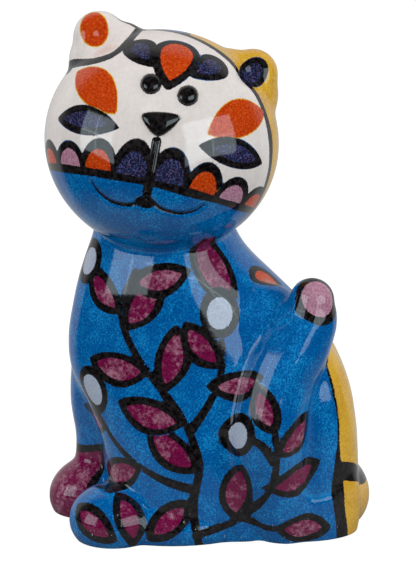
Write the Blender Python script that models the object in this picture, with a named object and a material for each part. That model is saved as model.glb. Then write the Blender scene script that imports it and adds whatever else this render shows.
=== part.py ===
"""Seated ceramic cat, one slip-cast body. Metres, +Z up.

The body sits in profile with its chest towards -X and its rump towards +X. The head is turned to look
along -Y, leaning to the cat's left, and the hind leg on the -Y side is raised straight up against the
body. The forms are built as closed shapes, fused and softened as wet clay would be, then the face is
modelled in relief and the underside is cut flat. Sizes are in millimetres; MM makes them metres.
"""

import math

import bmesh
import bpy
import numpy as np
from mathutils import Matrix, Vector

MM = 0.001

# Head: centre, half sizes across, deep and high, and how it is turned.
HEAD_CENTRE = (-15.25, -7.0, 135.0)
HEAD_HALF = (39.1, 34.5, 36.9)
HEAD_PITCH = math.radians(12.3)
HEAD_LEAN = math.radians(12.4)

# Face, in the head's own frame: x across, z up, seen from the front.
EYE_PLACES = ((-6.8, 17.0), (5.6, 15.9))
EYE_RADIUS = 3.0
EYE_HEIGHT = 1.9
NOSE_CORNERS = ((-7.4, 6.8), (4.5, 8.7), (-0.9, 0.9))
NOSE_ROUNDING = 0.9
NOSE_HEIGHT = 1.5
LIP_LINE = ((-1.0, -0.6), (-0.7, -9.0), (-0.5, -17.6))
MOUTH_LINES = (
    ((-0.5, -18.4), (-4.5, -22.2), (-10.5, -22.8), (-15.6, -20.8), (-19.0, -17.8)),
    ((-0.5, -18.4), (4.5, -21.4), (10.5, -21.8), (15.0, -20.2), (18.2, -17.4)),
)
GROOVE_DEPTH = 0.8
GROOVE_WIDTH = 0.95
CHIN_DIMPLE = (-0.6, -20.4)
CHIN_DIMPLE_RADIUS = 1.9
CHIN_DIMPLE_DEPTH = 0.9
CHEEK_PLACES = ((-9.4, -14.5), (8.6, -13.9))
CHEEK_RADIUS = 8.0
CHEEK_HEIGHT = 0.9
EAR_HOLLOWS = ((-26.6, 29.4), (24.0, 28.0))
EAR_HOLLOW_RADIUS = 5.6
EAR_HOLLOW_DEPTH = 2.1

# How the forms are fused, softened and thinned out.
CLAY_VOXEL = 0.9
CLAY_SOFTENING = 20
TRIANGLES = 9000
RING_POINTS = 96

GLAZE_BLUE = (0.020, 0.160, 0.440, 1.0)


def clear_scene():
    for obj in list(bpy.data.objects):
        bpy.data.objects.remove(obj)


def smooth_rows(rows, steps):
    """Catmull-Rom curve through rows of values, with steps samples to each gap."""
    rows = np.array(rows, float)
    padded = np.vstack([2 * rows[0] - rows[1], rows, 2 * rows[-1] - rows[-2]])
    samples = []
    for before, start, end, after in zip(padded, padded[1:], padded[2:], padded[3:]):
        for t in np.linspace(0, 1, steps, endpoint=False):
            linear = (end - before) * t
            square = (2 * before - 5 * start + 4 * end - after) * t**2
            cube = (3 * start - before - 3 * end + after) * t**3
            samples.append((2 * start + linear + square + cube) / 2)
    samples.append(rows[-1])
    return np.array(samples)


def quarter_section(left, right, near, far, power_left, power_right, power_far):
    """Closed outline whose quarters are superellipses, so that it may have a soft ridge on its near side."""
    angles = np.linspace(0, 2 * math.pi, RING_POINTS, endpoint=False)
    cosine, sine = np.cos(angles), np.sin(angles)
    power = np.where(sine < 0, np.where(cosine < 0, power_left, power_right), power_far)
    across = np.where(cosine < 0, left, right) * np.sign(cosine) * np.abs(cosine) ** (2 / power)
    deep = np.where(sine < 0, near, far) * np.sign(sine) * np.abs(sine) ** (2 / power)
    return across, deep


def skin_rings(clay, rings, first_tip, last_tip):
    """Adds a closed shape to the clay: rings of points joined in turn, with a tip at each end."""
    rows = [[clay.verts.new(point) for point in ring] for ring in rings]
    first, last = clay.verts.new(first_tip), clay.verts.new(last_tip)
    for lower, upper in zip(rows, rows[1:]):
        for i in range(RING_POINTS):
            j = (i + 1) % RING_POINTS
            clay.faces.new((lower[i], lower[j], upper[j], upper[i]))
    for i in range(RING_POINTS):
        j = (i + 1) % RING_POINTS
        clay.faces.new((rows[0][j], rows[0][i], first))
        clay.faces.new((rows[-1][i], rows[-1][j], last))


def add_torso(clay):
    """Upright body from level sections, with a soft ridge down the chest on the near side."""
    middle_y = 1.0
    sections = (
        # height, left x, right x, near y, far y, ridge x, powers left and right of the ridge
        (-6, -28.0, 43.0, -22.0, 21.0, -4.0, 2.20, 2.20),
        (2, -33.0, 50.0, -27.0, 27.0, -4.0, 2.30, 2.20),
        (14, -35.0, 52.0, -29.5, 30.0, -5.0, 2.40, 2.10),
        (30, -37.0, 51.6, -29.6, 30.0, -6.0, 2.30, 2.00),
        (42, -41.5, 50.0, -28.8, 29.5, -7.0, 1.90, 1.95),
        (54, -46.8, 46.8, -27.8, 29.0, -8.0, 1.55, 1.90),
        (66, -47.9, 40.8, -26.9, 28.5, -8.0, 1.47, 1.80),
        (77, -46.6, 32.2, -26.0, 27.0, -8.0, 1.45, 1.70),
        (86, -44.8, 23.2, -25.2, 26.0, -8.5, 1.43, 1.65),
        (94, -42.3, 15.0, -23.6, 25.0, -9.0, 1.40, 1.65),
        (101, -39.8, 10.2, -21.2, 23.5, -10.0, 1.40, 1.70),
        (110, -37.0, 7.0, -17.0, 21.0, -13.0, 1.70, 1.80),
        (122, -32.0, 2.0, -12.0, 16.0, -14.0, 2.00, 2.00),
    )
    rings = []
    for height, left, right, near, far, ridge, power_left, power_right in smooth_rows(sections, 10):
        across, deep = quarter_section(
            ridge - left, right - ridge, middle_y - near, far - middle_y, power_left, power_right, 2.2
        )
        rings.append(np.column_stack([ridge + across, middle_y + deep, np.full(RING_POINTS, height)]))
    skin_rings(clay, rings, rings[0].mean(axis=0), rings[-1].mean(axis=0))


def add_limb(clay, stations, powers=(2.0, 2.0, 2.0), back=(0.0, 1.0, 0.0)):
    """Tube through stations (x, y, z, radius) with round ends; powers shape its section away from back."""
    rows = smooth_rows(stations, 8)
    points, radii = rows[:, :3], rows[:, 3]
    tangents = np.gradient(points, axis=0)
    tangents /= np.linalg.norm(tangents, axis=1)[:, None]
    cap_angles = np.linspace(0, math.pi / 2, 8, endpoint=False)[1:]

    def cap_ring(end, outward, angle):
        reach = outward * radii[end] * math.sin(angle)
        return points[end] + tangents[end] * reach, tangents[end], radii[end] * math.cos(angle)

    spine = [cap_ring(0, -1, angle) for angle in cap_angles[::-1]]
    spine += list(zip(points, tangents, radii))
    spine += [cap_ring(-1, 1, angle) for angle in cap_angles]
    across, deep = quarter_section(1, 1, 1, 1, *powers)
    rings = []
    for centre, tangent, radius in spine:
        rear = np.array(back) - tangent * np.dot(tangent, back)
        rear /= np.linalg.norm(rear)
        side = np.cross(rear, tangent)
        rings.append(centre + radius * (np.outer(across, side) + np.outer(deep, rear)))
    first_tip = points[0] - tangents[0] * radii[0]
    last_tip = points[-1] + tangents[-1] * radii[-1]
    skin_rings(clay, rings, first_tip, last_tip)


def add_lump(clay, centre, half, turn=None):
    """Ellipsoid of the given half sizes, turned by a 3 x 3 matrix."""
    rotation = (turn or Matrix.Identity(3)).to_quaternion()
    bmesh.ops.create_icosphere(
        clay, subdivisions=5, radius=1.0, matrix=Matrix.LocRotScale(Vector(centre), rotation, Vector(half))
    )


def head_axes():
    """Columns: across the face, to the back of the head, up the face."""
    forward = Vector((0, -math.cos(HEAD_PITCH), math.sin(HEAD_PITCH)))
    upright = Vector((0, math.sin(HEAD_PITCH), math.cos(HEAD_PITCH)))
    level = Vector((1, 0, 0))
    across = math.cos(HEAD_LEAN) * level - math.sin(HEAD_LEAN) * upright
    up = math.sin(HEAD_LEAN) * level + math.cos(HEAD_LEAN) * upright
    return Matrix((across, -forward, up)).transposed()


def add_head(clay):
    turn = head_axes()

    def at(*place):
        return Vector(HEAD_CENTRE) + turn @ Vector(place)

    add_lump(clay, at(0, 0, -0.2), HEAD_HALF, turn)
    # Each ear: a broad root, a tip, and a filling that runs down into the crown.
    add_lump(clay, at(-24.0, 0.5, 21.5), (12.2, 11.0, 12.8), turn)
    add_lump(clay, at(-27.5, -0.5, 29.0), (8.9, 8.0, 8.8), turn)
    add_lump(clay, at(-19.5, 0.0, 25.7), (10.2, 9.0, 10.2), turn)
    add_lump(clay, at(22.2, 0.5, 20.5), (12.8, 11.0, 12.8), turn)
    add_lump(clay, at(24.7, -0.5, 27.6), (8.7, 8.0, 8.9), turn)
    add_lump(clay, at(17.3, 0.0, 24.9), (10.0, 9.0, 10.0), turn)


def add_forelegs(clay):
    add_limb(clay, ((-38.6, 11, 2, 9.5), (-37.4, 11, 20, 10), (-36.9, 10, 40, 11.2), (-36.0, 8, 56, 11)))
    add_lump(clay, (-41.0, 8.0, 6.5), (14.8, 13.5, 13.0), Matrix.Rotation(math.radians(-18), 3, "Y"))
    add_lump(clay, (-26.5, -21.3, 6.3), (20.8, 13.0, 12.2))


def add_raised_leg(clay):
    """Near hind leg: a hip on the ground and a leg leaning back against the body, with a fold beside it."""
    leg = (
        (25.0, -15.0, 8.0, 15.0),
        (20.5, -18.0, 26.0, 14.0),
        (20.0, -20.5, 42.0, 13.6),
        (23.0, -21.5, 56.0, 12.8),
        (28.8, -21.2, 69.0, 11.4),
        (33.4, -21.2, 78.0, 9.6),
        (34.8, -21.5, 83.2, 8.6),
    )
    add_lump(clay, (30.2, -11.5, 7.0), (22.3, 18.0, 20.0))
    add_limb(clay, leg, powers=(1.5, 1.9, 2.0))
    add_lump(clay, (15.0, -10.0, 70.0), (16.0, 13.0, 18.0))
    add_lump(clay, (21.5, -10.5, 75.5), (9.5, 9.5, 11.0))


def add_rump(clay):
    """Far haunch and hind paw, and the tail laid round the rump."""
    add_lump(clay, (24.0, 14.5, 20.0), (25.0, 16.0, 24.0))
    add_lump(clay, (-6.0, 23.0, 5.0), (17.0, 9.0, 9.0))
    tail = ((4, 25, 7, 10.5), (26, 25, 7, 11), (40.5, 17, 7, 12), (44.4, 4, 7, 12), (42.4, -9, 6.5, 10))
    add_limb(clay, tail, back=(0.0, 0.0, 1.0))


def object_from(mesh, name):
    obj = bpy.data.objects.new(name, mesh)
    bpy.context.scene.collection.objects.link(obj)
    return obj


def evaluated_mesh(obj):
    """The object's mesh with its modifiers applied; the object is removed."""
    graph = bpy.context.evaluated_depsgraph_get()
    mesh = bpy.data.meshes.new_from_object(obj.evaluated_get(graph), depsgraph=graph)
    bpy.data.objects.remove(obj)
    return mesh


def fused_clay():
    """All the forms as one softened skin, in millimetres."""
    clay = bmesh.new()
    add_torso(clay)
    add_forelegs(clay)
    add_raised_leg(clay)
    add_rump(clay)
    add_head(clay)
    bmesh.ops.recalc_face_normals(clay, faces=clay.faces)
    mesh = bpy.data.meshes.new("clay")
    clay.to_mesh(mesh)
    clay.free()
    obj = object_from(mesh, "clay")
    fuse = obj.modifiers.new("fuse", "REMESH")
    fuse.mode = "VOXEL"
    fuse.voxel_size = CLAY_VOXEL
    soften = obj.modifiers.new("soften", "SMOOTH")
    soften.factor = 0.5
    soften.iterations = CLAY_SOFTENING
    return evaluated_mesh(obj)


def distance_to_line(points, line):
    """Distance from 2-D points to a chain of straight runs."""
    best = np.full(len(points), np.inf)
    for start, end in zip(np.array(line, float), np.array(line[1:], float)):
        run = end - start
        along = np.clip((points - start) @ run / (run @ run), 0, 1)
        best = np.minimum(best, np.linalg.norm(points - start - along[:, None] * run, axis=1))
    return best


def inside_corners(points, corners):
    """How deep 2-D points lie inside a convex shape with clockwise corners; negative outside."""
    depth = np.full(len(points), np.inf)
    for i, corner in enumerate(np.array(corners, float)):
        edge = np.array(corners[(i + 1) % len(corners)]) - corner
        inward = np.array((edge[1], -edge[0])) / np.linalg.norm(edge)
        depth = np.minimum(depth, (points - corner) @ inward)
    return depth


def bump(distance, radius):
    """Smooth bell, 1 at the middle and about 0 from twice the radius."""
    return np.exp(-((distance / radius) ** 2))


def face_relief(place):
    """Height of the modelled face over points in the head's frame; negative in grooves and hollows."""
    flat = place[:, [0, 2]]
    height = np.zeros(len(place))
    for eye in EYE_PLACES:
        reach = np.linalg.norm(flat - eye, axis=1) / EYE_RADIUS
        height += EYE_HEIGHT * np.sqrt(np.clip(1 - reach**2, 0, 1))
    depth = inside_corners(flat, NOSE_CORNERS) + NOSE_ROUNDING
    height += NOSE_HEIGHT * np.sqrt(1 - (1 - np.clip(depth / 2.6, 0, 1)) ** 2)
    for line in (LIP_LINE, *MOUTH_LINES):
        height -= GROOVE_DEPTH * bump(distance_to_line(flat, line), GROOVE_WIDTH)
    for cheek in CHEEK_PLACES:
        height += CHEEK_HEIGHT * bump(np.linalg.norm(flat - cheek, axis=1), CHEEK_RADIUS)
    height -= CHIN_DIMPLE_DEPTH * bump(np.linalg.norm(flat - CHIN_DIMPLE, axis=1), CHIN_DIMPLE_RADIUS)
    for hollow in EAR_HOLLOWS:
        height -= EAR_HOLLOW_DEPTH * bump(np.linalg.norm(flat - hollow, axis=1), EAR_HOLLOW_RADIUS) ** 2
    return height


def model_face(mesh):
    """Pushes the front of the head in and out by the face's relief."""
    count = len(mesh.vertices)
    points, normals = np.empty(count * 3), np.empty(count * 3)
    mesh.vertices.foreach_get("co", points)
    mesh.vertex_normals.foreach_get("vector", normals)
    points, normals = points.reshape(-1, 3), normals.reshape(-1, 3)
    turn = np.array(head_axes())
    place = (points - HEAD_CENTRE) @ turn
    facing = -(normals @ turn)[:, 1]
    front = np.clip(facing / 0.25, 0, 1) * (place[:, 1] < 2) * (place[:, 2] > -HEAD_HALF[2])
    points += normals * (face_relief(place) * front)[:, None]
    mesh.vertices.foreach_set("co", points.ravel())


def thinned(mesh):
    obj = object_from(mesh, "thinned")
    thin = obj.modifiers.new("thin", "DECIMATE")
    thin.ratio = TRIANGLES / (2 * len(mesh.vertices))
    return evaluated_mesh(obj)


def cut_underside(mesh):
    """Cuts the foot flat at Z = 0, sets the box's middle on the Z axis and turns the sizes to metres."""
    body = bmesh.new()
    body.from_mesh(mesh)
    geometry = body.verts[:] + body.edges[:] + body.faces[:]
    bmesh.ops.bisect_plane(
        body, geom=geometry, dist=0.01, plane_co=(0, 0, 0), plane_no=(0, 0, -1), clear_outer=True
    )
    for vert in body.verts:
        if vert.is_boundary:
            vert.co.z = 0
    rim = [edge for edge in body.edges if edge.is_boundary]
    foot = bmesh.ops.holes_fill(body, edges=rim, sides=0)["faces"]
    places = np.array([vert.co for vert in body.verts])
    middle = (places.min(axis=0) + places.max(axis=0)) / 2
    bmesh.ops.translate(body, vec=(-middle[0], -middle[1], 0), verts=body.verts)
    bmesh.ops.scale(body, vec=(MM, MM, MM), verts=body.verts)
    for face in body.faces:
        face.smooth = face not in foot
    body.to_mesh(mesh)
    body.free()


def glaze():
    material = bpy.data.materials.new("glazed_ceramic")
    material.use_nodes = True
    shader = material.node_tree.nodes["Principled BSDF"]
    shader.inputs["Base Color"].default_value = GLAZE_BLUE
    shader.inputs["Roughness"].default_value = 0.08
    shader.inputs["Metallic"].default_value = 0.0
    return material


def make_cat():
    mesh = fused_clay()
    model_face(mesh)
    mesh = thinned(mesh)
    cut_underside(mesh)
    cat = object_from(mesh, "cat")
    cat.data.materials.append(glaze())


clear_scene()
make_cat()
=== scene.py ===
"""Looks of the seated ceramic cat: a printed and glazed slip casting, in a small studio.

The skin is built from the CAD part's forms, a little refined and meshed finer, with crisper modelling
of the face. The print on it is drawn in code: for every ink the mesh carries how deep each point lies
inside that ink, in millimetres, and the glaze material turns those depths into sharp-edged, grainy
areas of colour.
Forms and drawings are in millimetres until the skin is finished; MM makes them metres.
"""

import math

import bmesh
import bpy
import numpy as np
from mathutils import Matrix, Vector
from mathutils.bvhtree import BVHTree


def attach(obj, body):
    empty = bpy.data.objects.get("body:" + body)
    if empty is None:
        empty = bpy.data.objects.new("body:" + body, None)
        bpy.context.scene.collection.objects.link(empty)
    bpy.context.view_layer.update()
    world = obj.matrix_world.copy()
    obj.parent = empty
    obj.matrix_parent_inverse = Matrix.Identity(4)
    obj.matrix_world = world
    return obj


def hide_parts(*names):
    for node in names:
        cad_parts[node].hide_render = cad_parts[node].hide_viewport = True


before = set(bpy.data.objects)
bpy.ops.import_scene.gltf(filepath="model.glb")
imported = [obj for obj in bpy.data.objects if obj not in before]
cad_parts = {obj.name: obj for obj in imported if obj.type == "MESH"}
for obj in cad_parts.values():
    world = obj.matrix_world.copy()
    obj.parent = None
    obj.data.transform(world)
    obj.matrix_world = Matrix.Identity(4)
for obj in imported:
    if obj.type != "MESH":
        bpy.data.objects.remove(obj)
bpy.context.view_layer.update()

MM = 0.001

# ---------------------------------------------------------------- the body's forms

# Head: centre, half sizes across, deep and high, and how it is turned.
HEAD_CENTRE = (-15.25, -7.0, 135.0)
HEAD_HALF = (39.1, 34.5, 36.9)
HEAD_PITCH = math.radians(12.3)
HEAD_LEAN = math.radians(12.4)

# Face, in the head's own frame: x across, z up, seen from the front.
EYE_PLACES = ((-6.8, 17.0), (5.6, 15.9))
EYE_RADIUS = 3.15
EYE_HEIGHT = 2.1
NOSE_CORNERS = ((-6.6, 6.5), (3.9, 8.2), (-1.0, 1.6))
NOSE_ROUNDING = 1.75
NOSE_HEIGHT = 2.3
NOSE_MIDDLE_DEPTH = 4.0
NOSE_SOFTNESS = 0.5
LIP_LINE = ((-1.0, -0.6), (-0.7, -9.0), (-0.5, -17.6))
MOUTH_BENDS = (
    ((-0.5, -18.4), (-4.5, -22.2), (-10.5, -22.8), (-15.6, -20.8), (-19.0, -17.8)),
    ((-0.5, -18.4), (4.5, -21.4), (10.5, -21.8), (15.0, -20.2), (18.2, -17.4)),
)
GROOVE_DEPTH = 0.8
GROOVE_WIDTH = 0.75
CHIN_DIMPLE = (-0.6, -20.6)
CHIN_DIMPLE_HALF = (2.6, 1.5)
CHIN_DIMPLE_DEPTH = 1.3
CHEEK_PLACES = ((-9.4, -14.5), (8.6, -13.9))
CHEEK_RADIUS = 8.0
CHEEK_HEIGHT = 0.9
FINE_MARGINS = (2.4, 1.0)
FOLD_SHOULDER = 0.5
FOLD_SHOULDER_REACH = 2.2
HAUNCH_FOLDS = (
    # spots (x, z) seen from the front, depth, width
    (((33, 52), (30, 44), (29, 35), (29.3, 28), (31, 21), (35, 16.2), (41, 16.5)), 0.45, 1.8),
    (((5, 38), (7, 28), (11, 15), (17, 2)), 1.6, 2.6),
)
EAR_HOLLOWS = ((-26.6, 29.4), (24.0, 28.0))
EAR_HOLLOW_RADIUS = 5.6
EAR_HOLLOW_DEPTH = 2.1

CLAY_VOXEL = 0.95
CLAY_SOFTENING = 18
RING_POINTS = 96
SIDE_ROUNDING = 9.0


def smooth_rows(rows, steps):
    """Catmull-Rom curve through rows of values, with steps samples to each gap."""
    rows = np.array(rows, float)
    padded = np.vstack([2 * rows[0] - rows[1], rows, 2 * rows[-1] - rows[-2]])
    samples = []
    for before, start, end, after in zip(padded, padded[1:], padded[2:], padded[3:]):
        for t in np.linspace(0, 1, steps, endpoint=False):
            linear = (end - before) * t
            square = (2 * before - 5 * start + 4 * end - after) * t**2
            cube = (3 * start - before - 3 * end + after) * t**3
            samples.append((2 * start + linear + square + cube) / 2)
    samples.append(rows[-1])
    return np.array(samples)


def quarter_section(left, right, near, far, power_left, power_right, power_far):
    """Closed outline whose quarters are superellipses, so it may have a soft ridge on its near side."""
    angles = np.linspace(0, 2 * math.pi, RING_POINTS, endpoint=False)
    cosine, sine = np.cos(angles), np.sin(angles)
    power = np.where(sine < 0, np.where(cosine < 0, power_left, power_right), power_far)
    across = np.where(cosine < 0, left, right) * np.sign(cosine) * np.abs(cosine) ** (2 / power)
    deep = np.where(sine < 0, near, far) * np.sign(sine) * np.abs(sine) ** (2 / power)
    return across, deep


def round_side(across, deep, half_width, half_depth, power):
    """Rounds the near left quarter of a section where it meets the side, keeping its width and depth."""
    near = (across <= 0) & (deep <= 0)
    share_across, share_deep = np.abs(across[near]) / half_width, np.abs(deep[near]) / half_depth
    facing = np.array((share_across ** (power - 1) / half_width, share_deep ** (power - 1) / half_depth))
    facing /= np.linalg.norm(facing, axis=0)
    across[near] = -(half_width - SIDE_ROUNDING) * share_across - SIDE_ROUNDING * facing[0]
    deep[near] = -(half_depth - SIDE_ROUNDING) * share_deep - SIDE_ROUNDING * facing[1]
    return across, deep


def skin_rings(clay, rings, first_tip, last_tip):
    """Adds a closed shape to the clay: rings of points joined in turn, with a tip at each end."""
    rows = [[clay.verts.new(point) for point in ring] for ring in rings]
    first, last = clay.verts.new(first_tip), clay.verts.new(last_tip)
    for lower, upper in zip(rows, rows[1:]):
        for i in range(RING_POINTS):
            j = (i + 1) % RING_POINTS
            clay.faces.new((lower[i], lower[j], upper[j], upper[i]))
    for i in range(RING_POINTS):
        j = (i + 1) % RING_POINTS
        clay.faces.new((rows[0][j], rows[0][i], first))
        clay.faces.new((rows[-1][i], rows[-1][j], last))


def add_torso(clay):
    """Upright body from level sections, with a soft ridge down the chest on the near side."""
    middle_y = 1.0
    sections = (
        # height, left x, right x, near y, far y, ridge x, powers left and right of the ridge
        (-6, -28.0, 43.0, -22.0, 21.0, -4.0, 2.20, 2.20),
        (2, -33.0, 50.0, -27.0, 27.0, -4.0, 2.30, 2.20),
        (14, -35.0, 52.0, -29.5, 30.0, -5.0, 2.40, 2.10),
        (30, -37.0, 51.6, -29.6, 30.0, -6.0, 2.30, 2.00),
        (42, -41.5, 50.0, -28.8, 29.5, -7.0, 1.90, 1.95),
        (54, -46.8, 46.8, -27.8, 29.0, -8.0, 1.55, 1.90),
        (66, -47.6, 40.8, -26.9, 28.5, -8.0, 1.47, 1.80),
        (77, -45.9, 32.2, -26.0, 27.0, -8.0, 1.45, 1.70),
        (86, -43.9, 23.2, -25.2, 26.0, -8.5, 1.43, 1.65),
        (94, -41.4, 15.0, -23.6, 25.0, -9.0, 1.40, 1.65),
        (101, -39.0, 10.2, -21.2, 23.5, -10.0, 1.40, 1.70),
        (110, -37.0, 7.0, -17.0, 21.0, -13.0, 1.70, 1.80),
        (122, -32.0, 2.0, -12.0, 16.0, -14.0, 2.00, 2.00),
    )
    rings = []
    for height, left, right, near, far, ridge, power_left, power_right in smooth_rows(sections, 10):
        across, deep = quarter_section(
            ridge - left, right - ridge, middle_y - near, far - middle_y, power_left, power_right, 2.2
        )
        across, deep = round_side(across, deep, ridge - left, middle_y - near, power_left)
        rings.append(np.column_stack([ridge + across, middle_y + deep, np.full(RING_POINTS, height)]))
    skin_rings(clay, rings, rings[0].mean(axis=0), rings[-1].mean(axis=0))


def add_limb(clay, stations, powers=(2.0, 2.0, 2.0), back=(0.0, 1.0, 0.0)):
    """Tube through stations (x, y, z, radius) with round ends; powers shape its section away from back."""
    rows = smooth_rows(stations, 8)
    points, radii = rows[:, :3], rows[:, 3]
    tangents = np.gradient(points, axis=0)
    tangents /= np.linalg.norm(tangents, axis=1)[:, None]
    cap_angles = np.linspace(0, math.pi / 2, 8, endpoint=False)[1:]

    def cap_ring(end, outward, angle):
        reach = outward * radii[end] * math.sin(angle)
        return points[end] + tangents[end] * reach, tangents[end], radii[end] * math.cos(angle)

    spine = [cap_ring(0, -1, angle) for angle in cap_angles[::-1]]
    spine += list(zip(points, tangents, radii))
    spine += [cap_ring(-1, 1, angle) for angle in cap_angles]
    across, deep = quarter_section(1, 1, 1, 1, *powers)
    rings = []
    for centre, tangent, radius in spine:
        rear = np.array(back) - tangent * np.dot(tangent, back)
        rear /= np.linalg.norm(rear)
        side = np.cross(rear, tangent)
        rings.append(centre + radius * (np.outer(across, side) + np.outer(deep, rear)))
    first_tip = points[0] - tangents[0] * radii[0]
    last_tip = points[-1] + tangents[-1] * radii[-1]
    skin_rings(clay, rings, first_tip, last_tip)


def add_lump(clay, centre, half, turn=None):
    """Ellipsoid of the given half sizes, turned by a 3 x 3 matrix."""
    rotation = (turn or Matrix.Identity(3)).to_quaternion()
    bmesh.ops.create_icosphere(
        clay, subdivisions=5, radius=1.0, matrix=Matrix.LocRotScale(Vector(centre), rotation, Vector(half))
    )


def head_axes():
    """Columns: across the face, to the back of the head, up the face."""
    forward = Vector((0, -math.cos(HEAD_PITCH), math.sin(HEAD_PITCH)))
    upright = Vector((0, math.sin(HEAD_PITCH), math.cos(HEAD_PITCH)))
    level = Vector((1, 0, 0))
    across = math.cos(HEAD_LEAN) * level - math.sin(HEAD_LEAN) * upright
    up = math.sin(HEAD_LEAN) * level + math.cos(HEAD_LEAN) * upright
    return Matrix((across, -forward, up)).transposed()


def add_head(clay):
    turn = head_axes()

    def at(*place):
        return Vector(HEAD_CENTRE) + turn @ Vector(place)

    add_lump(clay, at(0, 0, -0.2), HEAD_HALF, turn)
    # Each ear: a broad root, a tip, and a filling that runs down into the crown.
    add_lump(clay, at(-24.0, 0.5, 21.5), (12.2, 11.0, 12.8), turn)
    add_lump(clay, at(-27.5, -0.5, 29.0), (8.9, 8.0, 8.8), turn)
    add_lump(clay, at(-19.5, 0.0, 25.7), (10.2, 9.0, 10.2), turn)
    add_lump(clay, at(22.2, 0.5, 20.5), (12.8, 11.0, 12.8), turn)
    add_lump(clay, at(24.7, -0.5, 27.6), (8.7, 8.0, 8.9), turn)
    add_lump(clay, at(17.3, 0.0, 24.9), (10.0, 9.0, 10.0), turn)


def add_forelegs(clay):
    add_limb(clay, ((-38.6, 11, 2, 9.5), (-36.6, 11, 24, 9.4), (-36.7, 10, 40, 11.0), (-36.0, 8, 56, 11)))
    add_lump(clay, (-41.0, 8.0, 6.5), (14.8, 13.5, 12.3), Matrix.Rotation(math.radians(-18), 3, "Y"))
    add_lump(clay, (-32.0, -19.2, 6.3), (15.3, 15.2, 12.2))
    add_lump(clay, (-12.0, -15.2, 4.5), (28.0, 16.2, 10.5))


LEG = (
    (25.0, -15.2, 8.0, 15.0),
    (20.5, -20.2, 25.0, 14.0),
    (20.0, -24.2, 40.0, 13.6),
    (23.0, -22.6, 56.0, 12.8),
    (29.4, -20.4, 69.0, 12.0),
    (33.5, -20.2, 77.0, 10.0),
    (34.6, -20.7, 83.7, 7.7),
)


def add_raised_leg(clay):
    """Near hind leg: a hip on the ground and a leg leaning back against the body, with a fold beside it."""
    add_lump(clay, (30.2, -11.5, 9.0), (22.3, 14.9, 30.0))
    add_limb(clay, ((33, -7, 6, 19.0), (33, -7, 28, 18.3), (31.5, -7.5, 48, 17.0), (27, -8, 62, 13.5)))
    add_limb(clay, LEG, powers=(1.5, 1.9, 2.0))
    add_lump(clay, (15.0, -10.0, 70.0), (16.0, 13.0, 18.0))
    add_lump(clay, (21.5, -10.5, 75.5), (9.5, 9.5, 11.0))


TAIL = ((4, 25, 7, 10.5), (26, 25, 7, 11), (40.5, 17, 7, 12), (44.0, 4, 7, 12.4), (42.4, -9, 6.5, 10))


def add_rump(clay):
    """Far haunch and hind paw, and the tail laid round the rump."""
    add_lump(clay, (24.0, 14.5, 20.0), (25.0, 16.0, 24.0))
    add_lump(clay, (-6.0, 23.0, 5.0), (17.0, 9.0, 9.0))
    add_limb(clay, TAIL, back=(0.0, 0.0, 1.0))


def object_from(mesh, name):
    obj = bpy.data.objects.new(name, mesh)
    bpy.context.scene.collection.objects.link(obj)
    return obj


def fused_clay():
    """All the forms as one softened skin, in millimetres."""
    clay = bmesh.new()
    add_torso(clay)
    add_forelegs(clay)
    add_raised_leg(clay)
    add_rump(clay)
    add_head(clay)
    bmesh.ops.recalc_face_normals(clay, faces=clay.faces)
    mesh = bpy.data.meshes.new("clay")
    clay.to_mesh(mesh)
    clay.free()
    obj = object_from(mesh, "clay")
    fuse = obj.modifiers.new("fuse", "REMESH")
    fuse.mode = "VOXEL"
    fuse.voxel_size = CLAY_VOXEL
    soften = obj.modifiers.new("soften", "SMOOTH")
    soften.factor = 0.5
    soften.iterations = CLAY_SOFTENING
    graph = bpy.context.evaluated_depsgraph_get()
    fused = bpy.data.meshes.new_from_object(obj.evaluated_get(graph), depsgraph=graph)
    bpy.data.objects.remove(obj)
    return fused


def mouth_lines():
    return [smooth_rows(bends, 5) for bends in MOUTH_BENDS]


def distance_to_line(points, line):
    """Distance from points to a chain of straight runs."""
    best = np.full(len(points), np.inf)
    for start, end in zip(np.array(line, float), np.array(line[1:], float)):
        run = end - start
        along = np.clip((points - start) @ run / (run @ run), 0, 1)
        best = np.minimum(best, np.linalg.norm(points - start - along[:, None] * run, axis=1))
    return best


def inside_edges(points, corners):
    """How far 2-D points lie inside each edge of a shape with clockwise corners; negative outside."""
    depths = []
    for i, corner in enumerate(np.array(corners, float)):
        edge = np.array(corners[(i + 1) % len(corners)]) - corner
        inward = np.array((edge[1], -edge[0])) / np.linalg.norm(edge)
        depths.append((points - corner) @ inward)
    return np.array(depths)


def nose_depth(flat):
    """How deep points lie inside the nose, a triangle with soft corners."""
    edges = inside_edges(flat, NOSE_CORNERS) + NOSE_ROUNDING
    return -np.log(np.exp(-NOSE_SOFTNESS * edges).sum(axis=0)) / NOSE_SOFTNESS


def chin_reach(flat):
    """Distance from the middle of the chin dimple, which is wider than high, as a share of its reach."""
    return np.hypot(*((flat - CHIN_DIMPLE) / CHIN_DIMPLE_HALF).T)


def bump(distance, radius):
    """Smooth bell, 1 at the middle and about 0 from twice the radius."""
    return np.exp(-((distance / radius) ** 2))


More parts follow.
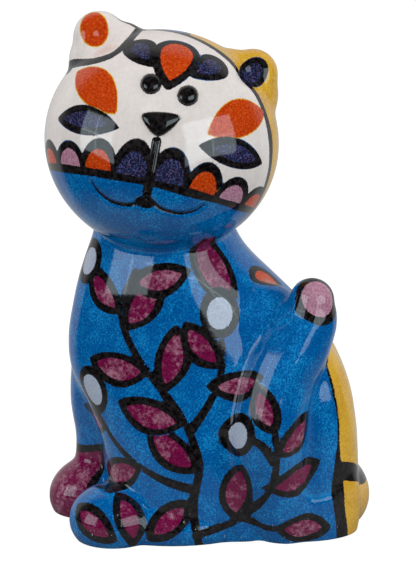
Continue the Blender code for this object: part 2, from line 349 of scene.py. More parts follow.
def face_relief(place):
    """Height of the modelled face over points in the head's frame; negative in grooves and hollows."""
    flat = place[:, [0, 2]]
    height = np.zeros(len(place))
    for eye in EYE_PLACES:
        reach = np.linalg.norm(flat - eye, axis=1) / EYE_RADIUS
        height += EYE_HEIGHT * np.sqrt(np.clip(1 - reach**2, 0, 1))
    height += NOSE_HEIGHT * np.sqrt(1 - (1 - np.clip(nose_depth(flat) / NOSE_MIDDLE_DEPTH, 0, 1)) ** 2)
    for line in (LIP_LINE, *mouth_lines()):
        height -= GROOVE_DEPTH * bump(distance_to_line(flat, line), GROOVE_WIDTH)
    for cheek in CHEEK_PLACES:
        height += CHEEK_HEIGHT * bump(np.linalg.norm(flat - cheek, axis=1), CHEEK_RADIUS)
    height -= CHIN_DIMPLE_DEPTH * bump(chin_reach(flat), 1.0)
    for hollow in EAR_HOLLOWS:
        height -= EAR_HOLLOW_DEPTH * bump(np.linalg.norm(flat - hollow, axis=1), EAR_HOLLOW_RADIUS) ** 2
    return height


def near_relief(place):
    """How close points in the head's frame come to an eye, the nose, the lips or the mouth."""
    flat = place[:, [0, 2]]
    reach = np.full(len(place), np.inf)
    for eye in EYE_PLACES:
        reach = np.minimum(reach, np.linalg.norm(flat - eye, axis=1) - EYE_RADIUS)
    reach = np.minimum(reach, -nose_depth(flat))
    for line in (LIP_LINE, *mouth_lines()):
        reach = np.minimum(reach, distance_to_line(flat, line) - GROOVE_WIDTH)
    return reach


def refine_face(mesh):
    """Splits the faces round the eyes, nose, lips and mouth, so that their relief comes out crisp."""
    turn = np.array(head_axes())
    for margin in FINE_MARGINS:
        skin = bmesh.new()
        skin.from_mesh(mesh)
        points = np.array([vert.co for vert in skin.verts])
        place = (points - HEAD_CENTRE) @ turn
        close = (near_relief(place) < margin) & (place[:, 1] < -10)
        skin.edges.ensure_lookup_table()
        chosen = [edge for edge in skin.edges if close[edge.verts[0].index] and close[edge.verts[1].index]]
        bmesh.ops.subdivide_edges(skin, edges=chosen, cuts=1, smooth=1.0, use_grid_fill=True)
        skin.to_mesh(mesh)
        skin.free()


def mesh_arrays(mesh):
    """Points and normals of the mesh."""
    count = len(mesh.vertices)
    points, normals = np.empty(count * 3), np.empty(count * 3)
    mesh.vertices.foreach_get("co", points)
    mesh.vertex_normals.foreach_get("vector", normals)
    return points.reshape(-1, 3), normals.reshape(-1, 3)


def model_face(mesh):
    """Pushes the front of the head in and out by the face's relief."""
    points, normals = mesh_arrays(mesh)
    turn = np.array(head_axes())
    place = (points - HEAD_CENTRE) @ turn
    facing = -(normals @ turn)[:, 1]
    front = np.clip(facing / 0.25, 0, 1) * (place[:, 1] < 2) * (place[:, 2] > -HEAD_HALF[2])
    points += normals * (face_relief(place) * front)[:, None]
    mesh.vertices.foreach_set("co", points.ravel())
    mesh.update()


def mesh_tree(mesh, points):
    """Search tree of the mesh's faces, through the given points."""
    polygons = [tuple(polygon.vertices) for polygon in mesh.polygons]
    return BVHTree.FromPolygons([tuple(point) for point in points], polygons)


def press_folds(mesh):
    """Presses in the soft folds of the raised leg's haunch, each along spots seen from the front."""
    points, normals = mesh_arrays(mesh)
    tree = mesh_tree(mesh, points)
    for spots, depth, width in HAUNCH_FOLDS:
        spots = [tree.ray_cast(Vector((x, -200, z)), Vector((0, 1, 0)))[0] for x, z in spots]
        away = distance_to_line(points, smooth_rows(spots, 6))
        shoulder = FOLD_SHOULDER * bump(away, FOLD_SHOULDER_REACH * width)
        points += normals * (depth * (shoulder - bump(away, width)))[:, None]
    mesh.vertices.foreach_set("co", points.ravel())
    mesh.update()


def cut_underside(mesh):
    """Cuts the foot flat at Z = 0; the foot takes the second material."""
    body = bmesh.new()
    body.from_mesh(mesh)
    geometry = body.verts[:] + body.edges[:] + body.faces[:]
    bmesh.ops.bisect_plane(
        body, geom=geometry, dist=0.01, plane_co=(0, 0, 0), plane_no=(0, 0, -1), clear_outer=True
    )
    for vert in body.verts:
        if vert.is_boundary:
            vert.co.z = 0
    rim = [edge for edge in body.edges if edge.is_boundary]
    foot = bmesh.ops.holes_fill(body, edges=rim, sides=0)["faces"]
    for face in body.faces:
        face.smooth = face not in foot
        face.material_index = 1 if face in foot else 0
    body.to_mesh(mesh)
    body.free()


def set_in_frame(mesh):
    """Sets the middle of the mesh's box on the Z axis and turns its sizes to metres."""
    points, _ = mesh_arrays(mesh)
    middle = (points.min(axis=0) + points.max(axis=0)) / 2
    points -= (middle[0], middle[1], 0)
    mesh.vertices.foreach_set("co", (points * MM).ravel())
    mesh.update()


# ---------------------------------------------------------------- the print

# Of these, thin is no ink of the print: it carries a painted highlight along the haunch's fold.
INKS = ("white", "yellow", "magenta", "mauve", "orange", "navy", "pale", "black", "thin")
DEEPEST = 6.0
OUTLINE = 1.25
GROUND_OUTLINE = 1.3
BRUSH_UNEVENNESS = 0.07
# Half width of the painted highlight's line along the fold.
FOLD_HIGHLIGHT_WIDTH = 0.6


def strand_depth(points, path, radii):
    """Depth inside a strand: a chain of straight runs whose half width goes from radius to radius."""
    path, radii = np.array(path, float), np.broadcast_to(radii, len(path))
    depth = np.full(len(points), -np.inf)
    for start, end, thin, thick in zip(path, path[1:], radii, radii[1:]):
        run = end - start
        along = np.clip((points - start) @ run / (run @ run), 0, 1)
        away = np.linalg.norm(points - start - along[:, None] * run, axis=1)
        depth = np.maximum(depth, thin + along * (thick - thin) - away)
    return depth


def leaf_depth(along, across, length, width, bend=0.0):
    """Depth inside a leaf pointed at both ends; bend bows it sideways."""
    half, belly = length / 2, width / 2
    radius = (half**2 + belly**2) / (2 * belly)
    across = across - bend * (1 - (along / half) ** 2)
    return radius - np.hypot(along, np.abs(across) + radius - belly)


def oval_depth(along, across, length, width):
    reach = np.hypot(along / (length / 2), across / (width / 2))
    return (1 - reach) * min(length, width) / 2


def petal_depth(along, across, length, width):
    """Depth inside a drop: round at its far end, pointed where it starts."""
    half, belly, tip = length / 2, width / 2, 0.3
    steps = np.linspace(0, 1, 7)
    centres = -half + steps * (length - belly)
    radii = tip + (belly - tip) * np.sin(steps * math.pi / 2)
    path = np.column_stack([centres, np.zeros(len(steps))])
    return strand_depth(np.column_stack([along, across]), path, radii)


class Skin:
    """The finished skin in millimetres, and how deep each of its points lies inside each ink."""

    def __init__(self, mesh):
        self.points, self.normals = mesh_arrays(mesh)
        self.tree = mesh_tree(mesh, self.points)
        self.turn = np.array(head_axes())
        self.place = (self.points - HEAD_CENTRE) @ self.turn
        x, y, z = self.points.T
        waves = np.sin(x / 3.1 + z / 4.3) + np.sin(z / 2.7 - y / 3.9 + 2.0)
        waves += np.sin(x / 5.3 - z / 6.1 + y / 4.7)
        self.brush = 1 + BRUSH_UNEVENNESS * waves
        self.depths = {ink: np.full(len(self.points), -DEEPEST) for ink in INKS}
        reach = np.linalg.norm(self.place / HEAD_HALF, axis=1)
        muzzle = (reach < 1.09) & (self.place[:, 1] < -20)
        self.of_head = (reach < 1.035) | (self.place[:, 2] > 16) | muzzle

    def met(self, across, up, azimuth, middle, turn):
        """Where a look from an azimuth meets the skin, or the skin nearest to the look if it misses."""
        angle = math.radians(azimuth)
        inward = turn @ Vector((-math.sin(angle), math.cos(angle), 0))
        side = turn @ Vector((math.cos(angle), math.sin(angle), 0))
        target = middle + side * across + turn @ Vector((0, 0, up))
        hit = self.tree.ray_cast(target - inward * 200, inward)[0]
        return np.array(hit or self.tree.find_nearest(target)[0])

    def on_body(self, across, height, azimuth=0):
        """Spot of the skin seen level from an azimuth: 0 is the front, 90 the right."""
        return self.met(across, height, azimuth, Vector((0, 0, 0)), Matrix.Identity(3))

    def on_head(self, across, up, azimuth=0):
        """Spot of the head seen square to the face, in the head's own frame."""
        return self.met(across, up, azimuth, Vector(HEAD_CENTRE), head_axes())

    def walk(self, spot, turn, distance):
        """Where a way over the skin ends that keeps its turn, clockwise from upright, all along."""
        steps = max(1, round(distance / 2))
        for _ in range(steps):
            normal = np.array(self.tree.find_nearest(Vector(spot))[1])
            along, _ = self.bearings(normal, turn, np.array((0, 0, 1.0)))
            spot = np.array(self.tree.find_nearest(Vector(spot + along * distance / steps))[0])
        return spot

    @staticmethod
    def bearings(normal, turn, upright):
        """Directions on the skin along and across a turn, clockwise from upright."""
        up = upright - normal * np.dot(normal, upright)
        up /= np.linalg.norm(up)
        side = np.cross(up, normal)
        angle = math.radians(turn)
        return math.cos(angle) * up + math.sin(angle) * side, math.cos(angle) * side - math.sin(angle) * up

    def patch(self, spot, reach, turn, upright):
        """Points round a spot, and their places along and across a direction on the skin there."""
        away = np.linalg.norm(self.points - spot, axis=1)
        normal = self.normals[away < 3.5].mean(axis=0)
        normal /= np.linalg.norm(normal)
        level = np.abs((self.points - spot) @ normal) < 0.45 * reach
        where = np.nonzero((away < reach) & level & (self.normals @ normal > 0.1))[0]
        along, across = self.bearings(normal, turn, upright)
        offset = self.points[where] - spot
        return where, offset @ along, offset @ across

    def lay(self, ink, depth, where=slice(None)):
        self.depths[ink][where] = np.maximum(self.depths[ink][where], depth)

    def wipe(self, depth, where=slice(None)):
        for held in self.depths.values():
            held[where] = np.minimum(held[where], -depth)

    def stamp(self, ink, depth, where=slice(None), outline=OUTLINE):
        """Lays an ink over what is there, with a black outline of the given half width."""
        self.wipe(depth + outline, where)
        self.lay(ink, depth, where)
        if outline:
            self.lay("black", outline * self.brush[where] - np.abs(depth), where)

    def motif(self, ink, spot, turn, shape, sizes, outline=OUTLINE, upright=(0, 0, 1)):
        where, along, across = self.patch(spot, max(sizes[:2]) * 0.5 + 6, turn, np.array(upright, float))
        self.stamp(ink, shape(along, across, *sizes), where, outline)

    def line(self, spots, radii, ink="black"):
        """A brushed line through spots of the skin."""
        rows = smooth_rows(np.column_stack([spots, np.broadcast_to(radii, len(spots))]), 5)
        path, half = rows[:, :3], rows[:, 3]
        middle = path.mean(axis=0)
        reach = np.linalg.norm(path - middle, axis=1).max() + half.max() + DEEPEST
        where = np.nonzero(np.linalg.norm(self.points - middle, axis=1) < reach)[0]
        depth = strand_depth(self.points[where], path, half)
        self.lay(ink, depth + (self.brush[where] - 1) * half.max(), where)


def print_grounds(skin):
    """The broad areas: blue chest, yellow back and tail, white face, and the black lines between them."""
    x, y, z = skin.points.T
    head, body = skin.of_head, ~skin.of_head

    back = 0.75 * (x - 38) + 0.66 * (y + 15) - 0.6 * np.maximum(z - 70, 0) + 1.6 * np.sin(z / 9)
    back += np.interp(z, (4, 22, 38, 50, 60), (-2.0, -0.6, 0.8, 1.2, 0))
    leg = distance_to_line(skin.points, [spot[:3] for spot in LEG[3:]]) - 13.5
    back = np.minimum(back, np.where(y < -8, leg, DEEPEST))
    skin.stamp("yellow", np.where(body, back, -DEEPEST), outline=0)
    line = np.where(y < -2, np.interp(z, (20, 34), (2.3, 0.5)), 1.4)
    skin.lay("black", np.where(body, line * skin.brush - np.abs(back), -DEEPEST))
    tail_top = np.interp(y, (-22, -8, 6, 30), (24.8, 17.5, 14.5, 17.5))
    tail_line = np.minimum(np.interp(y, (0, 15), (3.1, 1.8)) * skin.brush - np.abs(z - tail_top), back)
    skin.lay("black", np.where(body, tail_line, -DEEPEST))

    across, deep, up = skin.place.T
    arc = HEAD_HALF[0] * np.arctan2(across, -deep)
    behind = (deep + 0.35 * across + 0.27 * up - 0.95) / 1.1
    parting = across + 2.5 * np.sin(deep / 9) + 1.0
    crown = np.minimum(np.minimum(behind, parting), up + 21)
    skin.stamp("yellow", np.where(head, crown, -DEEPEST), outline=GROUND_OUTLINE)
    hem = up + 14.0 + 0.002 * across**2
    skin.stamp("white", np.where(head, np.minimum(hem, -behind), -DEEPEST), outline=GROUND_OUTLINE)
    return arc, hem, behind


def print_hem(skin, arc, hem, behind):
    """A row of upright petals along the hem of the white face, tallest at the middle."""
    pitch = 14.0
    row = (("navy", 11.0), ("orange", 9.5), ("mauve", 8.0), ("orange", 7.5), ("mauve", 7.0))
    for i, (ink, height) in enumerate(row):
        for side in (-1, 1):
            petal = oval_depth(hem, arc + 0.7 - side * (i + 0.5) * pitch, 2 * height, pitch)
            where = np.nonzero(skin.of_head & (petal > -DEEPEST) & (hem > -0.5))[0]
            skin.stamp(ink, np.minimum(np.minimum(petal, hem), -behind)[where], where, outline=1.2)


def print_face(skin):
    """A palmette on the brow and a pair of leaves on each cheek."""
    up = tuple(skin.turn[:, 2])
    for across, height, turn, ink, sizes in (
        (-12.0, 26.8, -52, "navy", (13, 8.5)),
        (10.2, 26.2, 52, "navy", (13, 8.5)),
        (-1.0, 26.0, 0, "orange", (20, 13)),
    ):
        skin.motif(ink, skin.on_head(across, height), turn, petal_depth, sizes, upright=up)
    for side in (-1, 1):
        spot = skin.on_head(24.5 * side - 0.5, 11.5)
        skin.motif("orange", spot, 64 * side, leaf_depth, (26, 12, -1.2 * side), 0, upright=up)
        spot = skin.on_head(25.0 * side - 0.5, 0.6)
        skin.motif("navy", spot, 93 * side, leaf_depth, (23, 7.5, -0.6 * side), 1.1, upright=up)


def print_ears(skin):
    """A spot in each ear and one outside the right ear, and a line round the left ear's root."""
    up = tuple(skin.turn[:, 2])
    skin.motif("orange", skin.on_head(-29.5, 31.0), -20, oval_depth, (12, 9), 0, upright=up)
    root = [skin.on_head(*spot) for spot in ((-14, 35), (-17, 30), (-21, 24), (-28, 20), (-35, 17.5))]
    root += [skin.on_head(across, height, -90) for across, height in ((6, 16), (-3, 15.5), (-10, 16))]
    skin.line(root, 1.7)
    skin.motif("navy", skin.on_head(1.5, 26, 100), 0, oval_depth, (15, 10), 1.6, upright=up)
    skin.motif("navy", skin.on_head(24.5, 27.5), 25, oval_depth, (10, 7.5), 0.9, upright=up)


def print_relief(skin):
    """Black on the moulded eyes, nose, lip line and mouth."""
    flat = skin.place[:, [0, 2]]
    front = skin.of_head & (skin.place[:, 1] < -20)
    for eye in EYE_PLACES:
        skin.lay("black", np.where(front, EYE_RADIUS + 0.25 - np.linalg.norm(flat - eye, axis=1), -DEEPEST))
    skin.lay("black", np.where(front, nose_depth(flat), -DEEPEST))
    skin.lay("black", np.where(front, 1.55 - distance_to_line(flat, LIP_LINE), -DEEPEST))
    skin.lay("black", np.where(front, 2.0 * (1.25 - chin_reach(flat)), -DEEPEST))
    for line in mouth_lines():
        half = np.linspace(0.75, 0.2, len(line))
        skin.lay("black", np.where(front, strand_depth(flat, line, half), -DEEPEST))


SPRIGS = (
    # stem as (across, height) seen from an azimuth; leaves as (share of the stem, side, length, width)
    (
        ((-3, 0), (-5, 14), (-3, 28), (-7, 42), (-16, 55), (-25, 67), (-29, 80), (-24, 93)),
        ((0.28, -1, 21, 9.5), (0.45, -1, 22, 10), (0.56, 1, 21, 9.5), (0.64, -1, 21, 9.5), (0.8, 1, 22, 10),
         (0.85, -1, 18, 8.5), (0.97, 1, 19, 9)),
    ),
    (
        ((-6, 40), (1, 51), (5, 63), (4, 74)),
        ((0.4, 1, 17, 8), (0.65, -1, 18, 8.5)),
    ),
    (
        ((-4, 4), (10, 9), (20, 20), (23, 33), (22, 44)),
        ((0.25, -1, 19, 9), (0.54, 1, 19, 9), (0.8, 1, 17, 8.5), (1.0, -0.4, 15, 8)),
    ),
    (
        ((22, 32), (18, 38), (12, 40)),
        (),
    ),
    (
        ((-4, 20), (-17, 24), (-30, 32), (-38, 43)),
        ((0.5, -1, 19, 9), (0.85, -1, 16, 7.5)),
    ),
    (
        ((11, 10), (18, 6.5), (24, 6)),
        ((1.0, 0, 17, 8.5),),
    ),
)
LEAVES = (
    # across, height, turn from upright, length, width
    (2, 94, 160, 26, 12),
    (-39, 9, -60, 17, 8.5),
    (-26, 11, -8, 17, 8.5),
    (-13, 9, 48, 17, 8.5),
)
BERRIES = (
    # across, height, turn from upright, length, width
    (4, 80, 0, 14, 11.5),
    (-39, 50, -20, 14, 11.5),
    (10, 40, 30, 13, 10.5),
    (-40, 93, 10, 13, 10.5),
)
BACK_SPRIGS = (
    # azimuth, ink, stem, and how many leaves it bears, by turns left and right
    (150, "orange", ((-8, 24), (-9, 34), (-5, 44), (-7, 55), (-13, 66)), 6),
    (200, "magenta", ((22, 34), (18, 48), (20, 62), (15, 76), (8, 88)), 6),
)


def print_stems(skin, stems, azimuth=0):
    for stem in stems:
        spots = [skin.on_body(*spot, azimuth) for spot in smooth_rows(stem, 3)]
        skin.line(spots, np.linspace(1.6, 1.1, len(spots)))


def print_leaf(skin, ink, path, share, side, length, width, azimuth=0):
    """A leaf that springs from a stem at a share of its length, to one side."""
    i = round(share * (len(path) - 2))
    ahead = path[i + 1] - path[i]
    turn = math.degrees(math.atan2(*ahead)) + 48 * side
    middle = skin.walk(skin.on_body(*path[i], azimuth), turn, length / 2 + 1)
    skin.motif(ink, middle, turn, leaf_depth, (length, width, 1.0 * side))


def print_back(skin):
    """Two plainer sprigs on the hidden side."""
    for azimuth, ink, stem, count in BACK_SPRIGS:
        print_stems(skin, [stem], azimuth)
        for i in range(count):
            share = 0.2 + 0.8 * i / (count - 1)
            print_leaf(skin, ink, smooth_rows(stem, 10), share, (-1) ** i, 20 - i, 9.5 - 0.3 * i, azimuth)


def print_vine(skin):
    """The vine over the body's near side, with its leaves and berries, and an orange bud beside it."""
    print_stems(skin, [stem for stem, leaves in SPRIGS])
    for stem, leaves in SPRIGS:
        for leaf in leaves:
            print_leaf(skin, "magenta", smooth_rows(stem, 10), *leaf)
    for across, height, turn, length, width in LEAVES:
        skin.motif("magenta", skin.on_body(across, height), turn, leaf_depth, (length, width))
    for across, height, turn, length, width in BERRIES:
        skin.motif("pale", skin.on_body(across, height), turn, oval_depth, (length, width))
    skin.motif("orange", skin.on_body(20, 87), 140, oval_depth, (13, 9), 1.0)


def print_limbs(skin):
    """The far forepaw and the raised leg's sole pad."""
    x, y, z = skin.points.T
    paw = np.minimum(24 - z + 0.25 * (x + 40), 0.9 * np.minimum(y, 14) - x - 36.7)
    skin.stamp("magenta", np.where(skin.of_head | (y < -8), -DEEPEST, paw), outline=1.4)
    skin.motif("mauve", skin.on_body(37.3, 86), -10, oval_depth, (15, 13), 1.2)


def print_fold_highlight(skin):
    """Painted highlight: a line of lighter blue along the first fold of the haunch."""
    spots = [skin.on_body(*spot) for spot in HAUNCH_FOLDS[0][0]]
    # The painted highlight's line is laid under the ink name thin.
    skin.line(spots, FOLD_HIGHLIGHT_WIDTH, "thin")


def print_skin(mesh):
    """Draws the print and leaves it on the mesh as one layer of depths for each ink."""
    skin = Skin(mesh)
    print_hem(skin, *print_grounds(skin))
    print_face(skin)
    print_ears(skin)
    print_relief(skin)
    print_limbs(skin)
    print_back(skin)
    print_vine(skin)
    print_fold_highlight(skin)
    for ink, depth in skin.depths.items():
        layer = mesh.attributes.new("ink_" + ink, "FLOAT", "POINT")
        layer.data.foreach_set("value", np.clip(depth, -DEEPEST, DEEPEST).astype(np.float32))


# ---------------------------------------------------------------- glaze and inks


def srgb(red, green, blue):
    """Display colour, 0 to 255, as the linear colour that a shader takes."""
    shares = [channel / 255 for channel in (red, green, blue)]
    return [s / 12.92 if s <= 0.04045 else ((s + 0.055) / 1.055) ** 2.4 for s in shares] + [1.0]


class Nodes:
    """Short calls for the nodes of one material."""

    def __init__(self, name):
        self.material = bpy.data.materials.new(name)
        self.material.use_nodes = True
        self.tree = self.material.node_tree
        self.shader = self.tree.nodes["Principled BSDF"]
        coordinates = self.tree.nodes.new("ShaderNodeTexCoord")
        to_mm = self.tree.nodes.new("ShaderNodeMapping")
        to_mm.inputs["Scale"].default_value = (1 / MM, 1 / MM, 1 / MM)
        self.tree.links.new(coordinates.outputs["Object"], to_mm.inputs["Vector"])
        self.places = to_mm.outputs["Vector"]

    def into(self, socket, value):
        if isinstance(value, bpy.types.NodeSocket):
            self.tree.links.new(value, socket)
        else:
            socket.default_value = value

    def noise(self, size, detail=2.0, roughness=0.5, shift=0.0):
        """Cloudy values of 0 to 1, with features of about size millimetres."""
        node = self.tree.nodes.new("ShaderNodeTexNoise")
        node.noise_dimensions = "4D"
        self.into(node.inputs["Vector"], self.places)
        node.inputs["W"].default_value = shift
        node.inputs["Scale"].default_value = 1 / size
        node.inputs["Detail"].default_value = detail
        node.inputs["Roughness"].default_value = roughness
        return node.outputs["Fac"]

    def math(self, operation, first, second=0.0, third=0.0):
        node = self.tree.nodes.new("ShaderNodeMath")
        node.operation = operation
        for socket, value in zip(node.inputs, (first, second, third)):
            self.into(socket, value)
        return node.outputs["Value"]

    def span(self, value, low, high, start=0.0, end=1.0):
        """The value's place between low and high, as a value from start to end."""
        node = self.tree.nodes.new("ShaderNodeMapRange")
        self.into(node.inputs["Value"], value)
        for name, number in (("From Min", low), ("From Max", high), ("To Min", start), ("To Max", end)):
            node.inputs[name].default_value = number
        return node.outputs["Result"]

    def mix(self, share, first, second, kind="MIX"):
        node = self.tree.nodes.new("ShaderNodeMix")
        node.data_type = "RGBA"
        node.blend_type = kind
        self.into(node.inputs["Factor"], share)
        colours = [socket for socket in node.inputs if socket.type == "RGBA"]
        self.into(colours[0], first)
        self.into(colours[1], second)
        return next(socket for socket in node.outputs if socket.type == "RGBA")

    def ink_depth(self, ink):
        node = self.tree.nodes.new("ShaderNodeAttribute")
        node.attribute_name = "ink_" + ink
        return node.outputs["Fac"]

    def axes(self):
        """The place's X, Y and Z in millimetres."""
        node = self.tree.nodes.new("ShaderNodeSeparateXYZ")
        self.into(node.inputs["Vector"], self.places)
        return node.outputs


PAPER, PAPER_DARK = srgb(231, 221, 216), srgb(218, 207, 201)
BLUE, BLUE_DARK, BLUE_LIGHT = srgb(0, 98, 169), srgb(0, 75, 138), srgb(20, 136, 200)
MAGENTA, MAGENTA_DARK, MAGENTA_LIGHT = srgb(126, 24, 76), srgb(92, 2, 46), srgb(186, 132, 150)
MAUVE, MAUVE_DARK = srgb(188, 144, 160), srgb(158, 99, 124)
ORANGE, ORANGE_DARK, ORANGE_LIGHT = srgb(202, 66, 8), srgb(168, 44, 6), srgb(226, 108, 48)
YELLOW, YELLOW_DARK, YELLOW_LIGHT = srgb(215, 164, 38), srgb(197, 144, 36), srgb(230, 186, 92)
NAVY, NAVY_BLUE, NAVY_VIOLET = srgb(26, 25, 44), srgb(52, 72, 122), srgb(104, 84, 132)
PALE, PALE_DARK = srgb(178, 187, 204), srgb(158, 166, 184)
BLACK, BLACK_WORN = srgb(5, 3, 4), srgb(44, 40, 41)
CLAY, CLAY_PALE = srgb(214, 206, 194), srgb(232, 226, 216)
WHITE = (1, 1, 1, 1)

EDGE_BLUR = 0.1
YELLOW_RIM = 0.3
WORN_HEIGHTS = (16, 2)
WRINKLE_HEIGHT = 5.0
RIPPLE_HEIGHT = 0.00001


class Grain:
    """The dots, flecks and clouds that the inks share."""

    def __init__(self, n):
        self.fine = n.noise(0.62, 1.0, 0.6)
        self.fine_too = n.noise(0.58, 1.0, 0.6, 7.0)
        self.flecks = n.noise(1.3, 4.0, 0.75, 3.0)
        self.clouds = n.noise(8.0, 3.0, 0.6, 5.0)
        self.speckle = n.span(self.fine, 0.34, 0.66)
        self.speckle_too = n.span(self.fine_too, 0.34, 0.66)


def blue_ink(n, grain):
    """Dotted blue, worn lighter in flecks, with a painted highlight of lighter blue along the crease that
    is marked thin.
    """
    blue = n.mix(grain.speckle, BLUE_DARK, BLUE)
    worn = n.math("MULTIPLY_ADD", grain.clouds, 0.5, n.math("MULTIPLY", grain.fine_too, 0.75))
    blue = n.mix(n.span(worn, 0.62, 0.76, 0.0, 0.95), blue, BLUE_LIGHT)
    # Painted highlight: lighter blue where the line named thin runs along the haunch's fold.
    return n.mix(n.span(n.ink_depth("thin"), -1.3, 0.5, 0.0, 0.55), blue, BLUE_LIGHT)


def magenta_ink(n, grain):
    patchy = n.math("ADD", n.math("MULTIPLY", grain.flecks, 0.55), n.math("MULTIPLY", grain.clouds, 0.45))
    magenta = n.mix(grain.speckle, MAGENTA, MAGENTA_DARK)
    return n.mix(n.span(patchy, 0.5, 0.64, 0.0, 0.8), magenta, MAGENTA_LIGHT)


def orange_ink(n, grain):
    orange = n.mix(grain.speckle, ORANGE_DARK, ORANGE)
    return n.mix(n.span(grain.speckle_too, 0.6, 1.0, 0.0, 0.6), orange, ORANGE_LIGHT)


def yellow_ink(n, grain):
    yellow = n.mix(n.span(grain.clouds, 0.35, 0.65), YELLOW_DARK, YELLOW)
    return n.mix(n.span(grain.fine_too, 0.45, 0.7, 0.0, 0.8), yellow, YELLOW_LIGHT)


def navy_ink(n, grain):
    navy = n.mix(n.span(grain.fine, 0.5, 0.66, 0.0, 0.9), NAVY, NAVY_BLUE)
    return n.mix(n.span(grain.fine_too, 0.54, 0.68, 0.0, 0.9), navy, NAVY_VIOLET)


def plain_paper(n, grain):
    """White where no ink lies, faintly mottled."""
    mottle = n.math("MULTIPLY_ADD", grain.flecks, 0.6, n.math("MULTIPLY", grain.clouds, 0.4))
    return n.mix(n.span(mottle, 0.38, 0.62), PAPER_DARK, PAPER)


def laid_inks(n):
    """The inks one over another on the blue, each with a rough edge; orange has a yellow rim."""
    grain = Grain(n)
    wobble = n.math("MULTIPLY_ADD", n.noise(0.55, 2.0, 0.7, 9.0), 0.8, -0.4)

    def inside(ink, spread=0.0):
        depth = n.math("ADD", n.ink_depth(ink), wobble)
        return n.span(depth, -EDGE_BLUR - spread, EDGE_BLUR - spread)

    colour = blue_ink(n, grain)
    for ink, coat in (
        ("white", plain_paper(n, grain)),
        ("yellow", yellow_ink(n, grain)),
        ("magenta", magenta_ink(n, grain)),
        ("mauve", n.mix(grain.speckle, MAUVE_DARK, MAUVE)),
        ("orange", orange_ink(n, grain)),
        ("navy", navy_ink(n, grain)),
        ("pale", n.mix(grain.speckle, PALE_DARK, PALE)),
        ("black", n.mix(n.span(grain.flecks, 0.42, 0.68), BLACK, BLACK_WORN)),
    ):
        if ink == "orange":
            colour = n.mix(inside(ink, YELLOW_RIM), colour, YELLOW)
        colour = n.mix(inside(ink), colour, coat)
    return colour


def printed_glaze():
    """Inks under clear glaze, with pinholes and wrinkles near the ground."""
    n = Nodes("printed_glaze")
    low = n.span(n.axes()["Z"], *WORN_HEIGHTS)
    pinholes = n.math("MULTIPLY", n.span(n.noise(1.1, 3.0, 0.7, 17.0), 0.67, 0.7), low)
    n.into(n.shader.inputs["Base Color"], n.mix(pinholes, laid_inks(n), PAPER))
    n.shader.inputs["IOR"].default_value = 1.6
    n.shader.inputs["Roughness"].default_value = 0.07

    relief = n.tree.nodes.new("ShaderNodeBump")
    fine_ripple = n.math("MULTIPLY", n.noise(0.9, 2.0, 0.6, 13.0), 0.55)
    ripple = n.math("ADD", n.noise(2.2, 2.0, 0.5, 11.0), fine_ripple)
    wrinkles = n.span(n.noise(3.6, 3.0, 0.6, 15.0), 0.52, 0.66)
    wrinkles = n.math("MULTIPLY", wrinkles, n.math("MULTIPLY", low, WRINKLE_HEIGHT))
    n.into(relief.inputs["Height"], n.math("ADD", ripple, wrinkles))
    relief.inputs["Strength"].default_value = 1.0
    relief.inputs["Distance"].default_value = RIPPLE_HEIGHT
    n.into(n.shader.inputs["Normal"], relief.outputs["Normal"])
    return n.material


def bare_clay():
    """The unglazed foot."""
    n = Nodes("bare_clay")
    n.into(n.shader.inputs["Base Color"], n.mix(n.noise(1.5, 3.0), CLAY, CLAY_PALE))
    n.into(n.shader.inputs["Roughness"], n.span(n.noise(0.8, 2.0, 0.5, 4.0), 0.3, 0.7, 0.6, 0.8))
    return n.material


def make_cat():
    mesh = fused_clay()
    refine_face(mesh)
    model_face(mesh)
    press_folds(mesh)
    cut_underside(mesh)
    print_skin(mesh)
    set_in_frame(mesh)
    mesh.materials.clear()
    mesh.materials.append(printed_glaze())
    mesh.materials.append(bare_clay())
    return object_from(mesh, "cat_skin")


# ---------------------------------------------------------------- studio

SOFTBOX_TINT = (0.80, 0.94, 1.0)
SOFTBOX_STRENGTH = 7.0
SOFTBOX_DISTANCE = 1.2
SEAM_DISTANCE = 1.19
SEAM_WIDTH = 0.014
SEAM_GLOW = 1.6
LIGHTS_AIM = Vector((0, 0, 0.11))
FILL_LIGHT = 0.90
MIRRORED_ROOM = 0.01
MIRRORED_BACKDROP = 0.55
MIRRORED_FRONT_FLOOR = 0.24
MIRRORED_SIDE_FLOOR = 0.3
FLOOR_RADIUS = 4.0
FLOOR_GLOW = 0.92
CAMERA_LENS = 169.0
CAMERA_PLACE = Vector((-0.00036, -0.8871, 0.328))
CAMERA_AIM = Vector((-0.00036, -0.0201, 0.088))


def grey(brightness):
    return (brightness, brightness, brightness, 1)


def add_panel(name, azimuth, elevation, width, height, strength, distance):
    """An area light turned to face the figure; strength is watts a square metre."""
    light = bpy.data.lights.new(name, "AREA")
    light.shape = "RECTANGLE"
    light.size, light.size_y = width, height
    light.energy = strength * width * height
    light.color = SOFTBOX_TINT
    around, rise = math.radians(azimuth), math.radians(elevation)
    level = math.cos(rise)
    outward = Vector((math.sin(around) * level, -math.cos(around) * level, math.sin(rise)))
    lamp = object_from(light, name)
    lamp.location = LIGHTS_AIM + outward * distance
    lamp.rotation_mode = "QUATERNION"
    lamp.rotation_quaternion = (-outward).to_track_quat("-Z", "Y")


def add_softbox(name, azimuth, elevation, width, height):
    """A softbox with a brighter cross where its cloth is seamed."""
    seam = SOFTBOX_STRENGTH * SEAM_GLOW
    add_panel(name, azimuth, elevation, width, height, SOFTBOX_STRENGTH, SOFTBOX_DISTANCE)
    add_panel(name + "_upright_seam", azimuth, elevation, SEAM_WIDTH, height, seam, SEAM_DISTANCE)
    add_panel(name + "_level_seam", azimuth, elevation, width, SEAM_WIDTH, seam, SEAM_DISTANCE)


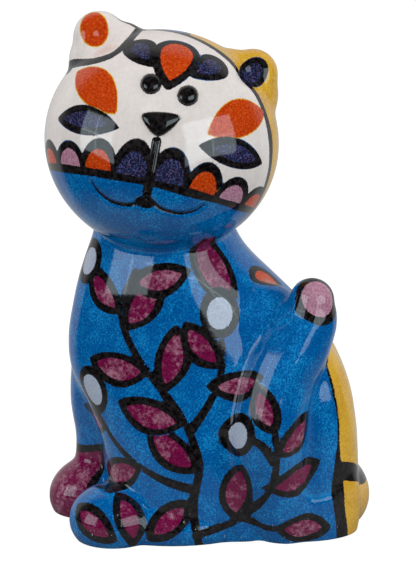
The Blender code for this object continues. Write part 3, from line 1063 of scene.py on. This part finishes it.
def mirrored_floor(n):
    """What the glaze mirrors of the floor: grey close to the figure, dark further out, pale behind."""
    reach = n.tree.nodes.new("ShaderNodeVectorMath")
    reach.operation = "LENGTH"
    n.into(reach.inputs[0], n.places)
    reach = reach.outputs["Value"]
    place = n.axes()
    aside = n.math("ABSOLUTE", place["X"])
    front = n.mix(n.span(reach, 80, 130), grey(MIRRORED_FRONT_FLOOR), grey(MIRRORED_ROOM))
    side = n.mix(n.span(reach, 110, 220), grey(MIRRORED_SIDE_FLOOR), grey(MIRRORED_ROOM))
    floor = n.mix(n.span(n.math("DIVIDE", aside, reach), 0.35, 0.8), front, side)
    rear = n.math("MULTIPLY_ADD", aside, -0.3, place["Y"])
    return n.mix(n.span(rear, -10, 50), floor, grey(MIRRORED_BACKDROP))


def add_floor():
    surface = bmesh.new()
    bmesh.ops.create_circle(surface, cap_ends=True, segments=96, radius=FLOOR_RADIUS)
    mesh = bpy.data.meshes.new("floor")
    surface.to_mesh(mesh)
    surface.free()
    n = Nodes("pale_floor")
    path = n.tree.nodes.new("ShaderNodeLightPath")
    matt = n.mix(n.noise(60.0), grey(0.15), grey(0.17))
    n.into(n.shader.inputs["Base Color"], n.mix(path.outputs["Is Glossy Ray"], matt, mirrored_floor(n)))
    n.shader.inputs["Roughness"].default_value = 0.6
    n.shader.inputs["Specular IOR Level"].default_value = 0.0
    n.shader.inputs["Emission Color"].default_value = WHITE
    glow = n.math("MULTIPLY", path.outputs["Is Camera Ray"], FLOOR_GLOW)
    n.into(n.shader.inputs["Emission Strength"], glow)
    mesh.materials.append(n.material)
    floor = object_from(mesh, "floor")


def add_world():
    """A pale room: soft all-round light, dim where the glaze mirrors it, white behind the figure."""
    world = bpy.data.worlds.new("studio")
    world.use_nodes = True
    bpy.context.scene.world = world
    tree = world.node_tree
    path = tree.nodes.new("ShaderNodeLightPath")
    way = tree.nodes.new("ShaderNodeSeparateXYZ")
    tree.links.new(tree.nodes.new("ShaderNodeTexCoord").outputs["Generated"], way.inputs["Vector"])
    mirrored = tree.nodes.new("ShaderNodeMapRange")
    tree.links.new(way.outputs["Y"], mirrored.inputs["Value"])
    mirrored.inputs["From Min"].default_value = 0.25
    mirrored.inputs["From Max"].default_value = 0.5
    mirrored.inputs["To Min"].default_value = MIRRORED_ROOM
    mirrored.inputs["To Max"].default_value = MIRRORED_BACKDROP
    light = tree.nodes["Background"]
    light.inputs["Color"].default_value = WHITE
    light.inputs["Strength"].default_value = FILL_LIGHT
    shader = light.outputs["Background"]
    for kind in ("Is Glossy Ray", "Is Camera Ray"):
        seen = tree.nodes.new("ShaderNodeBackground")
        seen.inputs["Color"].default_value = WHITE
        if kind == "Is Glossy Ray":
            tree.links.new(mirrored.outputs["Result"], seen.inputs["Strength"])
        mix = tree.nodes.new("ShaderNodeMixShader")
        tree.links.new(path.outputs[kind], mix.inputs["Fac"])
        tree.links.new(shader, mix.inputs[1])
        tree.links.new(seen.outputs["Background"], mix.inputs[2])
        shader = mix.outputs["Shader"]
    tree.links.new(shader, tree.nodes["World Output"].inputs["Surface"])


def add_camera():
    camera = bpy.data.cameras.new("camera")
    camera.lens = CAMERA_LENS
    holder = object_from(camera, "camera")
    holder.location = CAMERA_PLACE
    holder.rotation_mode = "QUATERNION"
    holder.rotation_quaternion = (CAMERA_AIM - CAMERA_PLACE).to_track_quat("-Z", "Y")
    bpy.context.scene.camera = holder


add_camera()
add_softbox("softbox_left", azimuth=-62, elevation=12.5, width=0.72, height=0.65)
add_softbox("softbox_right", azimuth=46, elevation=14, width=1.10, height=0.72)
add_floor()
add_world()
bpy.context.scene.view_settings.view_transform = "Standard"
cat = make_cat()
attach(cat, "root")
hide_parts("cat")
